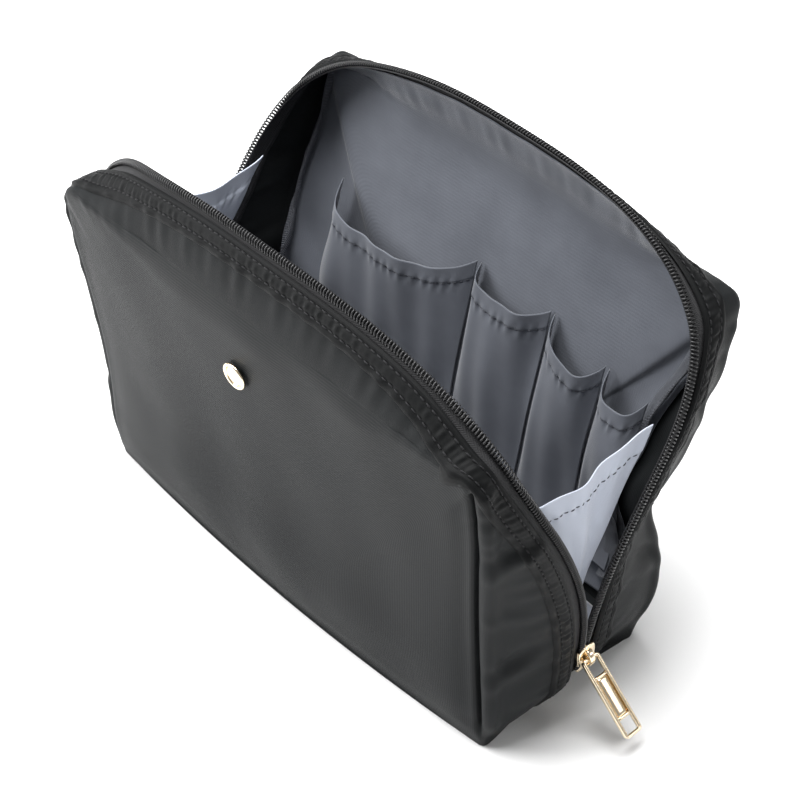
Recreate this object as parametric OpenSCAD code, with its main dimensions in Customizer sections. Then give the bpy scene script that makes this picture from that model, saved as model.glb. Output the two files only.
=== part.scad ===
// Zip-round makeup bag, standing open.
// X runs along the bag, the front faces -Y, Z is up, and the origin is the middle of the base's underside.
// Each half is drawn in half coordinates [x, q, z], where q is the distance out from the middle plane.
// front_half() and back_half() then put it on its side.

/* [Body] */
// Length of the base
body_l = 240; // [220:2:260]
// Depth of the base
body_d = 90; // [84:2:100]
// Height of the front and back faces up to their boxed corners
face_h = 164; // [150:2:176]
// How far the faces bow out along their bottom edge
face_bow = 6; // [0:1:8]
// Height of the base tray's upstand
tray_h = 12; // [8:1:14]

/* [Opening] */
// Outward lean of the front face, in degrees
front_lean = 5.5; // [2:0.5:9]
// Outward lean of the back face, in degrees
back_lean = 15.6; // [11:0.2:18]
// How far the front zip edge stands open, in degrees
front_open = 14.7; // [12:0.1:18]
// How far the back zip edge stands open, in degrees
back_open = 21.8; // [18:0.1:24]

/* [Zip] */
// Half width of the arch that the zip follows
arch_x = 133; // [128:1:140]
// Height of the arch's crown with the bag closed
arch_top = 192; // [180:1:200]
// Width of one coil
coil_w = 2.6; // [2:0.1:3]
// Width of the facing band that is topstitched over the tape
band_w = 10; // [8:1:12]
// Length of the pull
pull_l = 36; // [30:1:38]
// Width of the pull
pull_w = 9.4; // [8:0.2:11]

/* [Layers] */
// Thickness of the outer fabric
shell_t = 0.8; // [0.4:0.1:1]
// Thickness of the foam padding
pad_t = 1.5; // [1:0.1:2]
// Thickness of the lining
lining_t = 0.6; // [0.4:0.1:0.8]

/* [Pockets] */
// Height of the pockets' mouths above the table
pocket_top = 112; // [90:1:116]
// How far the pockets' mouths stand off the lining
pocket_gape = 17; // [12:1:20]

/* [Hidden] */

half_l = body_l / 2;
half_d = body_d / 2;
fabric = "#3a3b3d";
grey = "#83868d";
black = "#1d1d1f";
gold = "#e2b271";

// The two curves that a half is stretched between: the zip's arch and the edge of the face.
arch_mid = 88;            // closed height of the arch's widest point
arch_power = 2.9;         // roundness of the arch's shoulders
arch_tuck = 4.2;          // how far the arch narrows towards its foot
edge_mid = 80;            // height that the face's edge is measured round
edge_power = 9;           // sharpness of the boxed corners
bulge = 3.4;              // how far the gusset swells between the two curves
end_bow = 4;              // how far the base's ends bow out
arch_foot = 52;           // closed height where the stiff part of the zip begins
arch_foot_a = -atan((arch_mid - arch_foot) / arch_x);
edge_foot_a = -atan((edge_mid - tray_h - 1) / half_l);
COLS = 44;                // columns across a half
STRIP_ROWS = 4;           // rows from the zip to the face's edge
FACE_ROWS = 6;            // rows from the face's edge to its foot

// Layers, as distances out from the shell's outer surface.
tape_out = -shell_t - 0.4;
tape_t = 0.6;
pad_out = tape_out - tape_t - 0.2;
lining_out = pad_out - pad_t - 0.4;

// Distances in from the middle plane along the gusset.
coil_in = 1.8;
tape_edge = 16;
band_in = 9;
shell_in = 11;
inner_in = 18;

// Slider and pull.
slider_x = 129.4;
slider_z = 33;
plate_gap = 3;
plate_t = 1.1;
pivot_out = plate_gap + plate_t + 1.7;
bar_r = 0.9;
pull_t = 2.2;
pull_hang = 48;           // how far the pull stands out from straight down, in degrees
slider_w = 9.6;
slider_l = 12;

// ---- curves and surfaces in half coordinates ----

function unit(v) = v / norm(v);
function mix(a, b, k) = a + (b - a) * k;

// Distance from the centre to a superellipse at angle a, with straight sides below the centre.
function round_box(a, x, z, power) =
    a < 0 ? x / cos(a) : pow(pow(abs(cos(a)) / x, power) + pow(abs(sin(a)) / z, power), -1 / power);

function arch_waist(h) = h < arch_mid ? arch_tuck * pow((arch_mid - h) / 60, 2) : 0;

// A point of the zip's arch, opened outwards about the base's edge.
function arch_point(a, open) =
    let (r = round_box(a, arch_x, arch_top - arch_mid, arch_power),
        h = arch_mid + r * sin(a), x = r * cos(a) - arch_waist(h))
    [x, half_d * (1 - cos(open)) + h * sin(open), half_d * sin(open) + h * cos(open)];

function face_q(x, z, lean) =
    half_d + z * tan(lean) + face_bow * max(0, 1 - pow(x / half_l, 2)) * (1 - 0.7 * z / face_h);

function edge_point(a, lean) =
    let (r = round_box(a, half_l, face_h - edge_mid, edge_power),
        x = r * cos(a), z = edge_mid + r * sin(a))
    [x, face_q(x, z, lean), z];

// The half's surface. u runs from -1 at the left foot to 1 at the right foot.
// v is 0 on the zip's arch, 1 on the face's edge, and then grows to 2 at the foot of the face.
function skin(u, v, lean, open) =
    let (low = mix(arch_foot_a, edge_foot_a, min(1, v)),
        a = 90 - abs(u) * (90 - low), side = u < 0 ? -1 : 1, e = edge_point(a, lean))
    v <= 1
        ? let (p = mix(arch_point(a, open), e, v) + 4 * v * (1 - v) * bulge * [cos(a), 0, sin(a)])
            [side * p[0], p[1], p[2]]
        : let (k = 2 - v, x = e[0] * k, z = mix(tray_h + 1, e[2], k))
            [side * x, face_q(x, z, lean), z];

function outward(u, v, lean, open) =
    let (du = 0.004, dv = 0.01,
        along = skin(min(1, u + du), v, lean, open) - skin(max(-1, u - du), v, lean, open),
        across = skin(u, min(2, v + dv), lean, open) - skin(u, max(0, v - dv), lean, open))
    unit(cross(along, across));

function layer_point(u, v, out, lean, open) = skin(u, v, lean, open) + out * outward(u, v, lean, open);

// v at a distance in from the zip's arch.
function v_at(u, distance, lean, open) =
    distance / norm(skin(u, 1, lean, open) - skin(u, 0, lean, open));

// Rows of points on one side of a layer, from a distance in from the zip down to the foot of the face.
function cap_rows(start, out, lean, open) = concat(
    [for (i = [0:STRIP_ROWS]) [for (c = [0:COLS])
        let (u = -1 + 2 * c / COLS, v = mix(v_at(u, start, lean, open), 1, i / STRIP_ROWS))
        layer_point(u, v, out, lean, open)]],
    [for (i = [1:FACE_ROWS]) [for (c = [0:COLS])
        layer_point(-1 + 2 * c / COLS, 1 + 0.97 * i / FACE_ROWS, out, lean, open)]]);

// The point that closes a cap at the foot of the face.
function cap_centre(out, lean) =
    [0, face_q(0, tray_h + 1, lean) + out / cos(lean), tray_h + 1];

// Rows of points on one side of a ribbon that follows the zip between two distances.
function ribbon_rows(from, to, out, lean, open, steps = 2) =
    [for (i = [0:steps]) [for (c = [0:COLS])
        let (u = -1 + 2 * c / COLS, v = v_at(u, mix(from, to, i / steps), lean, open))
        layer_point(u, v, out, lean, open)]];

// ---- solids from rows of points ----

function joined(rows) = [for (row = rows) each row];
function quad(a, b, c, d) = [[a, b, c], [a, c, d]];

// A closed sheet between an outer and an inner set of rows. Points in `centres`, one outer and one inner,
// close the last row to a fan.
module sheet(outer, inner, centres = []) {
    rows = len(outer) - 1;
    cols = len(outer[0]) - 1;
    w = cols + 1;
    n = (rows + 1) * w;
    fan = len(centres) == 2;
    mo = 2 * n;
    mi = 2 * n + 1;
    skins = [for (r = [0:rows - 1]) for (c = [0:cols - 1])
        let (a = r * w + c, b = n + a)
        concat(quad(a, a + w, a + w + 1, a + 1), quad(b, b + 1, b + w + 1, b + w))];
    top = [for (c = [0:cols - 1]) quad(c, c + 1, n + c + 1, n + c)];
    left = [for (r = [0:rows - 1]) let (a = r * w) quad(a + w, a, n + a, n + a + w)];
    right = [for (r = [0:rows - 1]) let (a = r * w + cols) quad(a, a + w, n + a + w, n + a)];
    e = rows * w;
    foot = fan
        ? concat([for (c = [0:cols - 1]) [[e + c, mo, e + c + 1], [n + e + c, n + e + c + 1, mi]]],
            [quad(e, n + e, mi, mo), quad(mo, mi, n + e + cols, e + cols)])
        : [for (c = [0:cols - 1]) quad(e + c + 1, e + c, n + e + c, n + e + c + 1)];
    faces = joined(concat(skins, top, left, right, foot));
    polyhedron(concat(joined(outer), joined(inner), centres), faces);
}

// A layer of a half, from `start` in from the zip to the foot of the face.
module cap(start, out, thick, lean, open) {
    sheet(cap_rows(start, out, lean, open), cap_rows(start, out - thick, lean, open),
        [cap_centre(out, lean), cap_centre(out - thick, lean)]);
}

// A ribbon of a half that follows the zip.
module ribbon(from, to, out, thick, lean, open, steps = 2) {
    sheet(ribbon_rows(from, to, out, lean, open, steps),
        ribbon_rows(from, to, out - thick, lean, open, steps));
}

// Half coordinates to the bag's frame.
module front_half() mirror([0, 1, 0]) children();
module back_half() children();

// ---- base ----

function corner(k, x, y) = [(k % 4 == 0 || k % 4 == 3 ? 1 : -1) * x, (k % 4 < 2 ? 1 : -1) * y];

// A rectangle with round corners, as points that turn to the left.
function base_rectangle(inset) =
    let (x = half_l - inset, y = half_d - inset, r = 9 - inset,
        arc = function(k, a) corner(k, x - r, y - r) + r * [cos(90 * k + a), sin(90 * k + a)])
    [for (k = [0:3]) each concat(
        [for (a = [0:22.5:90]) arc(k, a)],
        [for (i = [1:9]) mix(arc(k, 90), arc(k + 1, 0), i / 10)])];

// The same with its four sides bowed.
function base_outline(inset) =
    [for (p = base_rectangle(inset))
        let (bow_x = end_bow * (1 - pow(p[1] / half_d, 2)),
            bow_y = face_bow * (1 - pow(p[0] / half_l, 2)))
        [p[0] * (1 + bow_x / half_l), p[1] * (1 + bow_y / half_d)]];

module tray(inset, floor_z, thick, height) {
    difference() {
        translate([0, 0, floor_z]) linear_extrude(height) polygon(base_outline(inset));
        translate([0, 0, floor_z + thick]) linear_extrude(height) polygon(base_outline(inset + thick));
    }
}

module outer_base() {
    color(fabric) tray(0, 0, shell_t, tray_h);
}

module padding_base() {
    color(black) translate([0, 0, shell_t + 0.1])
        linear_extrude(pad_t) polygon(base_outline(shell_t + 0.2));
}

module lining_base() {
    floor_z = shell_t + pad_t + 0.2;
    color(grey) tray(shell_t + pad_t + 0.6, floor_z, lining_t, tray_h - 0.2 - floor_z);
}

// ---- front half ----

stud_x = -9;
stud_z = 130.5;
stud_r = 6.4;
post_r = 1.2;
washer_r = 4.6;

// Stands its children on the front face where the stud goes, with +Z pointing out.
module at_stud() {
    translate([stud_x, -face_q(stud_x, stud_z, front_lean), stud_z])
        rotate([90 - front_lean + 1.4, 0, 0]) children();
}

module outer_front() {
    color(fabric) difference() {
        front_half() cap(shell_in, 0, shell_t, front_lean, front_open);
        at_stud() translate([0, 0, -3]) cylinder(r = post_r + 0.15, h = 6, $fn = 24);
    }
}

module padding_front() {
    color(black) difference() {
        front_half() cap(inner_in, pad_out, pad_t, front_lean, front_open);
        at_stud() translate([0, 0, -5]) cylinder(r = washer_r + 0.6, h = 6, $fn = 36);
    }
}

module lining_front() {
    color(grey) front_half() cap(inner_in - 1, lining_out, lining_t, front_lean, front_open);
}

module zip_band_front() {
    color(fabric) front_half() ribbon(band_in, band_in + band_w, 0.9, 0.8, front_lean, front_open);
}

module zip_tape_front() {
    color(black) front_half() ribbon(coil_in + 1.2, tape_edge, tape_out, tape_t, front_lean, front_open);
}

module zip_coil_front() {
    color(black) front_half() ribbon(coil_in, coil_in + coil_w, 1.5, 2.3, front_lean, front_open, 1);
}

// A domed button with a raised rim, on a post that goes through the fabric.
module stud_cap() {
    color(gold) at_stud() {
        translate([0, 0, 0.9]) cylinder(r = stud_r, h = 1.1, $fn = 48);
        translate([0, 0, 2])
            rotate_extrude($fn = 48) translate([stud_r - 0.9, 0]) circle(0.9, $fn = 24);
        translate([0, 0, 1.95]) cylinder(r = 2.6, h = 1.1, $fn = 36);
        translate([0, 0, -2]) cylinder(r = post_r, h = 3, $fn = 24);
    }
}

module stud_washer() {
    color(gold) at_stud() translate([0, 0, -1.9]) difference() {
        cylinder(r = washer_r, h = 0.45, $fn = 36);
        translate([0, 0, -1]) cylinder(r = post_r + 0.1, h = 3, $fn = 24);
    }
}

// Tape bound over the lining's corner seam, from the boxed corner down the inside.
function binding_rows(side, out, lean, open) =
    let (top_u = 0.42, foot_u = 0.86, steps = 10, wide = 0.1)
    [for (edge = [-1, 1]) [for (i = [0:steps])
        layer_point(side * mix(top_u, foot_u, i / steps), 1 + edge * wide * side, out, lean, open)]];

module binding(side, lean, open) {
    out = lining_out - lining_t - 0.5;
    sheet(binding_rows(side, out, lean, open), binding_rows(side, out - 0.8, lean, open));
}

module seam_binding_front_left() {
    color(grey) front_half() binding(-1, front_lean, front_open);
}

module seam_binding_front_right() {
    color(grey) front_half() binding(1, front_lean, front_open);
}

// ---- back half ----

module outer_back() {
    color(fabric) back_half() cap(shell_in, 0, shell_t, back_lean, back_open);
}

module padding_back() {
    color(black) back_half() cap(inner_in, pad_out, pad_t, back_lean, back_open);
}

module lining_back() {
    color(grey) back_half() cap(inner_in - 1, lining_out, lining_t, back_lean, back_open);
}

module zip_band_back() {
    color(fabric) back_half() ribbon(band_in, band_in + band_w, 0.9, 0.8, back_lean, back_open);
}

module zip_tape_back() {
    color(black) back_half() ribbon(coil_in + 1.2, tape_edge, tape_out, tape_t, back_lean, back_open);
}

module zip_coil_back() {
    color(black) back_half() ribbon(coil_in, coil_in + coil_w, 1.5, 2.3, back_lean, back_open, 1);
}

module seam_binding_back_left() {
    color(grey) back_half() binding(-1, back_lean, back_open);
}

module seam_binding_back_right() {
    color(grey) back_half() binding(1, back_lean, back_open);
}

// ---- pockets on the back lining ----

pocket_foot = 22;
pocket_t = 0.6;

function wall_q(x, z) = face_q(x, z, back_lean) + (lining_out - lining_t - 0.35) / cos(back_lean);

// The pocket's sheet stands off the lining most at its mouth and in its middle, and its mouth sags.
function pocket_rows(left, right, inset) =
    let (cols = 12, rows = 8)
    [for (r = [0:rows]) [for (c = [0:cols])
        let (k = r / rows, s = 2 * c / cols - 1, x = mix(left, right, c / cols) - s * inset,
            z = mix(pocket_foot, pocket_top, k) - 5 * (1 - s * s) * k + inset * (1 - k),
            stand = pocket_gape * (1 - pow(abs(s), 4)) * pow(k, 0.75) * min(1, (right - left) / 44))
        [x, wall_q(x, z) - 0.3 - max(pocket_t, stand) + inset, z]]];

module pocket(left, right) {
    color(grey) back_half() sheet(pocket_rows(left, right, 0), pocket_rows(left, right, pocket_t));
}

module pocket_wide() pocket(-92, -8);
module pocket_brush() pocket(-6, 37);
module pocket_slim() pocket(39, 72);
module pocket_end() pocket(74, 99);

// ---- soft ends between the halves ----

// One flap of the end gusset: from the tray's rim up to the slanting foot of a stiff half.
function flap_rows(out, lean, open) =
    let (cols = 6, rows = 5, foot = tray_h + 0.4, seam = 0.35)
    [for (r = [0:rows]) [for (c = [0:cols])
        let (k = r / rows, v = mix(0.1, 0.97, c / cols), top = skin(1, v, lean, open) - [0, 0, 1.4],
            low = [half_l + end_bow * (1 - v * v) - 0.5, mix(seam, half_d, (v - 0.1) / 0.87), foot],
            lift = arch_tuck * (1 - v) * k * (1 - k))
        mix(low, top, k) + [lift + out, 0, 0]]];

module flap(lean, open) sheet(flap_rows(0, lean, open), flap_rows(-shell_t, lean, open));

module end_gusset() {
    color(fabric) {
        front_half() flap(front_lean, front_open);
        back_half() flap(back_lean, back_open);
        translate([half_l + 2.6, -1, tray_h + 0.5]) cube([0.8, 2, 5]);
    }
}

module end_gusset_right() end_gusset();
module end_gusset_left() mirror([1, 0, 0]) end_gusset();

// The soft foot of one side of the zip, from above the slider to where the stiff arch begins.
// It ends a gap below the stiff tape and coil.
function foot_rows(from, to, out, open, gap) =
    let (rows = 5, top = arch_point(arch_foot_a, open), low = [slider_x + 0.4, 1.2, slider_z + 7.5])
    [for (edge = [from, to]) [for (r = [0:rows])
        let (k = r / rows) mix(low, top - [0.3, 0.6, gap], k) + [out, edge * (0.5 + 0.5 * k), 0]]];

module foot_strip(from, to, out, thick, open, gap) {
    sheet(foot_rows(from, to, out - thick, open, gap), foot_rows(from, to, out, open, gap));
}

module zip_foot() {
    for (side = [[1, front_open], [0, back_open]]) mirror([0, side[0], 0]) color(black) {
        foot_strip(coil_in, coil_in + coil_w, 1.5, 2.3, side[1], 5);
        foot_strip(coil_in + 1.2, 4.4, -1.1, 0.6, side[1], 8.2);
    }
}

module zip_foot_right() zip_foot();
module zip_foot_left() mirror([1, 0, 0]) zip_foot();

module zip_bottom_stop() {
    color(gold) translate([slider_x - 1.6, -2.4, slider_z - 11]) cube([3.2, 4.8, 3]);
}

module zip_top_stops() {
    color(gold) for (y = [-5.6, 1.6]) translate([-slider_x - 1.2, y, slider_z + 2]) cube([3, 4, 4]);
}

// The web that joins the halves' linings across an end and stops the bag falling open.
function web_side(z, open) =
    max(1.2, half_d * (1 - cos(open)) + (z - half_d * sin(open)) * tan(open) - 1.2);

function web_rows(out) =
    let (cols = 10, rows = 8, foot = slider_z + 8, top = 124)
    [for (r = [0:rows]) [for (c = [0:cols])
        let (k = r / rows, s = c / cols, z = mix(foot, top, k), wave = 3 * sin(360 * s) * k * (1.2 - k),
            y = mix(-web_side(z, front_open), web_side(z, back_open), s))
        [arch_x - 10 - arch_waist(z) + wave + out, y, z]]];

module end_web() {
    color(grey) sheet(web_rows(0), web_rows(-0.5));
}

module end_web_right() end_web();
module end_web_left() mirror([1, 0, 0]) end_web();

// ---- slider and pull ----

// Shield-shaped plate of the slider, wide at the mouth.
module slider_plate() {
    w = slider_w / 2;
    l = slider_l / 2;
    side = [[-l, w * 0.62], [-l + 2, w * 0.8], [l - 3, w], [l - 0.8, w * 0.8], [l, w * 0.3]];
    other = [for (i = [4:-1:0]) [side[i][0], -side[i][1]]];
    linear_extrude(plate_t) polygon(concat(side, other));
}

module slider_body() {
    foot = plate_gap + plate_t;
    rise = pivot_out + bar_r + 0.3 - foot;
    color(gold) translate([slider_x, 0, slider_z]) {
        for (x = [plate_gap, -foot - 0.9])
            translate([x, 0, 0]) rotate([0, -90, 180]) slider_plate();
        // post between the plates at the mouth
        translate([-plate_gap - 1, -0.7, slider_l / 2 - 3.2]) cube([2 * plate_gap + 1.1, 1.4, 2.6]);
        // bridge that holds the pull's bar
        difference() {
            translate([foot - 0.05, -1.3, -4]) cube([rise + 1.2, 2.6, 8]);
            translate([foot - 0.04, -3, -2.6]) cube([rise, 6, 5.2]);
        }
    }
}

// A flat tab between two rails, with a window for the bridge at one end and a square eye at the other.
module zip_pull() {
    rail = 1.5;
    window = 8;
    eye = 7;
    w = pull_w / 2;
    color(gold) translate([slider_x + pivot_out, 0, slider_z]) rotate([0, -pull_hang, 0]) {
        rotate([90, 0, 0]) cylinder(r = bar_r, h = pull_w - 1, center = true, $fn = 32);
        for (y = [-w, w - rail]) translate([-pull_t / 2, y, -pull_l]) {
            cube([pull_t, rail, pull_l]);
            translate([pull_t / 2, 0, pull_l])
                rotate([-90, 0, 0]) cylinder(r = pull_t / 2, h = rail, $fn = 32);
        }
        translate([-0.5, -w + 0.5, -pull_l + eye + rail])
            cube([1, pull_w - 1, pull_l - window - eye - rail]);
        translate([-pull_t / 2, -w + 0.2, -pull_l]) cube([pull_t, pull_w - 0.4, rail]);
    }
}

outer_base();
padding_base();
lining_base();
outer_front();
padding_front();
lining_front();
zip_band_front();
zip_tape_front();
zip_coil_front();
stud_cap();
stud_washer();
seam_binding_front_left();
seam_binding_front_right();
outer_back();
padding_back();
lining_back();
zip_band_back();
zip_tape_back();
zip_coil_back();
seam_binding_back_left();
seam_binding_back_right();
pocket_wide();
pocket_brush();
pocket_slim();
pocket_end();
end_gusset_right();
end_gusset_left();
zip_foot_right();
zip_foot_left();
zip_bottom_stop();
zip_top_stops();
end_web_right();
end_web_left();
slider_body();
zip_pull();
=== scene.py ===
"""A soft boxy makeup bag standing open: black satin shell, grey lining, zip arch and pale gold fittings.

Shapes are worked out in millimetres in half coordinates (x, q, z): x along the bag, q out from the
middle plane and z up. A half is then laid to its own side of the bag and turned to metres.
"""

import bpy
import numpy as np
from mathutils import Matrix


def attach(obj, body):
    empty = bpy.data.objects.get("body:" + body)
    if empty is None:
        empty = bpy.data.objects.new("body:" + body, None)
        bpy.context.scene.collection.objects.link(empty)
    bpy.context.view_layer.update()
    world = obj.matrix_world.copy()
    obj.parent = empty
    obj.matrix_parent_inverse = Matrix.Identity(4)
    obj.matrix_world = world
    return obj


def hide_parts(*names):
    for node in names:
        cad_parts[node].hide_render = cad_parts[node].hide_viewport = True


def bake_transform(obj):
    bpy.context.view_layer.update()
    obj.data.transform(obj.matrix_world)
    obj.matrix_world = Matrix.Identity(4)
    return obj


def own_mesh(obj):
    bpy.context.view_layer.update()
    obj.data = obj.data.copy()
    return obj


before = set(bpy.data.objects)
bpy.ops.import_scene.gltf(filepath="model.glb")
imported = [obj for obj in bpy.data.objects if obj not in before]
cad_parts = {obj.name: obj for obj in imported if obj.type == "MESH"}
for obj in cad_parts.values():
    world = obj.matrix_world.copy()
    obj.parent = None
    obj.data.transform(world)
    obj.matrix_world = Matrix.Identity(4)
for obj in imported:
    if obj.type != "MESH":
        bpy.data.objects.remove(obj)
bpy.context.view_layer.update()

# --- The two stiff halves' shell -------------------------------------------------------------------
# Black satin nylon, cut as a front and a back with boxed corners, and sewn to the zip's facing.
# Each half is hinged at the base's long edge.

MM = 0.001
HALF_L, HALF_D, FACE_H = 120.0, 45.0, 164.0
ARCH_MID, ARCH_TOP, ARCH_TUCK, FOOT_TUCK = 88.0, 192.0, 4.8, 14.0
BEND_LOW, BEND_HIGH = 20.0, 165.0

# Each half's lean and its swing from open to shut, in degrees, the radius of its boxed corners, and its zip's
# arch towards each end: half width, squareness and how far it falls in at its waist. The left shoulders have
# slumped, so they are rounder.
HALVES = {
    "front": dict(side=-1, lean=5.5, swing=14.7, corner={1: 6.0, -1: 14.0},
                  arch={1: (134.5, 3.1, 0.0), -1: (132.0, 2.75, 0.0)}),
    "back": dict(side=1, lean=15.6, swing=21.8, corner={1: 6.0, -1: 9.0},
                 arch={1: (133.5, 3.0, 0.0), -1: (133.0, 2.4, 9.0)}),
}


def unit(v):
    """A vector divided by its length."""
    return v / np.maximum(np.linalg.norm(v, axis=-1, keepdims=True), 1e-9)


def ease(x):
    """Smooth step: three times x squared less twice x cubed, with x held from 0 to 1."""
    x = np.clip(x, 0, 1)
    return x * x * (3 - 2 * x)


def hump(x, middle, width):
    """A bell curve of height 1."""
    return np.exp(-(((x - middle) / width) ** 2))


def walked(points):
    """Share of a path's length at each of its points, from 0 to 1, and the whole length."""
    step = np.linalg.norm(np.diff(points, axis=0), axis=1)
    length = np.concatenate([[0], np.cumsum(step)])
    return length / length[-1], length[-1]


def round_box(a, x, z, power):
    """Radius of a superellipse with half axes x and z, at angle a."""
    return ((np.abs(np.cos(a)) / x) ** power + (np.abs(np.sin(a)) / z) ** power) ** (-1 / power)


def zip_path(half, sign):
    """The zip from its crown to one end of the base. It is an arch in the middle plane, turned outwards about
    the base's edge by an angle that eases in with height, so that closing the half brings it back to the
    middle plane. The slumped left shoulder sways backwards."""
    wide, power, waist = half["arch"][sign]
    a = np.radians(np.linspace(90, 0, 600))
    r = round_box(a, wide, ARCH_TOP - ARCH_MID, power)
    low = np.linspace(ARCH_MID, 0, 260)[1:]
    tuck = ARCH_TUCK * ((ARCH_MID - low) / 60) ** 2 + FOOT_TUCK * ease((24 - low) / 24)
    x = np.concatenate([r * np.cos(a), wide - tuck])
    h = np.concatenate([ARCH_MID + r * np.sin(a), low])
    z = h.copy()
    for _ in range(60):
        turn = np.radians(half["swing"]) * ease((z - BEND_LOW) / (BEND_HIGH - BEND_LOW))
        z = HALF_D * np.sin(turn) + h * np.cos(turn)
    x = x - waist * hump(z, 108, 32) * ease((x - 70) / 40)
    sway = half["side"] * (sign < 0) * 5.0 * hump(x, 104, 30) * ease((z - 105) / 45)
    return np.stack([x, HALF_D * (1 - np.cos(turn)) + h * np.sin(turn) + sway, z], 1)


def face_depth(half, x, z):
    """How far out a face stands: its foot, its lean and its bow, which is greatest low in the middle."""
    bow = 6 * np.maximum(0, 1 - (x / HALF_L) ** 2) * (1 - 0.7 * z / FACE_H)
    belly = 2.5 * hump(z, 30, 26) * (1 - 0.5 * (x / HALF_L) ** 2)
    return HALF_D + z * np.tan(np.radians(half["lean"])) + bow + belly * ease(z / 12)


def corner_shift(half, z):
    """How far a vertical corner edge leaves a straight line, along x and q. The front's is nearly straight.
    The back's is pinched a third of the way up, where the end folds, and bulges below that."""
    if half["side"] < 0:
        x = 1.5 * hump(z, 22, 24) + 4.5 * hump(z, 145, 45)
        return x, 1.2 * hump(z, 18, 16) - 0.6 * hump(z, 90, 50)
    x = 2.2 * hump(z, 26, 17) - 5.6 * hump(z, 76, 15) + 0.5
    q = 1.8 * hump(z, 26, 12) - 10.5 * hump(z, 73, 20) - 4 * hump(z, 105, 20)
    return x, q + 2.5 * ease((z - 112) / 30)


def edge_path(half, sign):
    """The face's edge from the middle of its top, round the boxed corner and down to the base's corner."""
    a, r = np.radians(np.linspace(90, 0, 60)), half["corner"][sign]
    top = np.linspace(0, HALF_L - r, 400)[:-1]
    low = np.linspace(FACE_H - r, 0, 500)[1:]
    x = np.concatenate([top, HALF_L + r * (np.cos(a) - 1), np.full(low.shape, HALF_L)])
    z = np.concatenate([np.full(top.shape, FACE_H), FACE_H + r * (np.sin(a) - 1), low])
    side = ease((x - 60) / 55)
    shift_x, shift_q = corner_shift(half, z)
    return np.stack([x + side * shift_x, face_depth(half, x, z) + side * shift_q, z], 1)


for half in HALVES.values():
    half["zip"] = {1: zip_path(half, 1), -1: zip_path(half, -1)}
    half["edge"] = {1: edge_path(half, 1), -1: edge_path(half, -1)}
    half["zip_length"] = (walked(half["zip"][1])[1] + walked(half["zip"][-1])[1]) / 2


def along(half, line, s):
    """A point of a half's zip or edge. s is 0 at the crown, 1 at the right foot and -1 at the left."""
    sides = []
    for sign, path in half[line].items():
        point = np.stack([np.interp(np.abs(s), walked(path)[0], path[:, k]) for k in range(3)], -1)
        sides.append(point * np.array([sign, 1, 1]))
    return np.where((s > 0)[..., None], sides[0], sides[1])


def zip_at(half, sign, z):
    """How far out along x, and how far from the middle plane, a half's zip runs at a height."""
    path = half["zip"][sign][::-1]
    return np.interp(z, path[:, 2], path[:, 0]), np.interp(z, path[:, 2], path[:, 1])


def strip_reach(half, s):
    """How far the face's edge lies from the zip, across the gusset."""
    return np.linalg.norm(along(half, "edge", s) - along(half, "zip", s), axis=-1)


def face_reach(s):
    """How far the face's middle lies from its edge: its height at the top, its half length at an end."""
    return FACE_H + (HALF_L - FACE_H) * ease((np.abs(s) - 0.4) / 0.05)


def fillet(t, r):
    """0 below -r, t above r, and a parabola between."""
    return np.where(t <= -r, 0, np.where(t >= r, t, (t + r) ** 2 / (4 * r)))


def bare_half(half, s, row):
    """A half without its creases. row is 0 on the zip, 1 on the face's edge and 2 at the middle of the foot.
    The strip and the face are drawn straight to the edge, and a fillet rounds them into each other."""
    zipped, edge = along(half, "zip", s), along(half, "edge", s)
    strip_length, face_length = strip_reach(half, s), face_reach(s)
    t = np.where(row < 1, (row - 1) * strip_length, (row - 1) * face_length)
    r = 3.2 + 12 * (1 - ease((np.abs(s) - 0.16) / 0.2))
    a = fillet(-t, r) / strip_length
    b = fillet(t, r) / face_length
    middle = (zipped + edge) / 2
    lift = unit(np.stack([middle[..., 0] * 0.6, 0 * t, np.maximum(middle[..., 2] - ARCH_MID, 0)], -1))
    end_swell = 2.5 if half["side"] < 0 else -2.0
    swell = 3.4 - 2.2 * hump(np.abs(s), 0.42, 0.09) + end_swell * ease((np.abs(s) - 0.52) / 0.1)
    swell = swell * ease((1.06 - np.abs(s)) / 0.14)
    strip = edge + a[..., None] * (zipped - edge) + (4 * a * (1 - a) * swell)[..., None] * lift
    k = 1 - b
    x, z = edge[..., 0] * k, edge[..., 2] * k
    own = edge[..., 1] - face_depth(half, edge[..., 0], edge[..., 2])
    face = np.stack([x, face_depth(half, x, z) + own * np.exp(-((b * face_length / 34) ** 2)), z], -1)
    return strip + face - edge


def half_normal(half, s, row, shape):
    """Outward direction: the cross product of the steps along the zip and across it."""
    ds, dr = 0.002, 0.012
    a = shape(half, np.clip(s + ds, -1, 1), row) - shape(half, np.clip(s - ds, -1, 1), row)
    b = shape(half, s, np.clip(row + dr, 0, 1.99)) - shape(half, s, np.clip(row - dr, 0, 1.99))
    return unit(np.cross(a, b))


# Creases across each gusset: height, slope and depth.
GUSSET_CREASES = [(122, 0.3, -1.5), (114, 0.4, 1.2), (84, -0.2, 0.9), (52, 0.5, -1.6), (44, 0.4, 1.3)]


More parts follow.
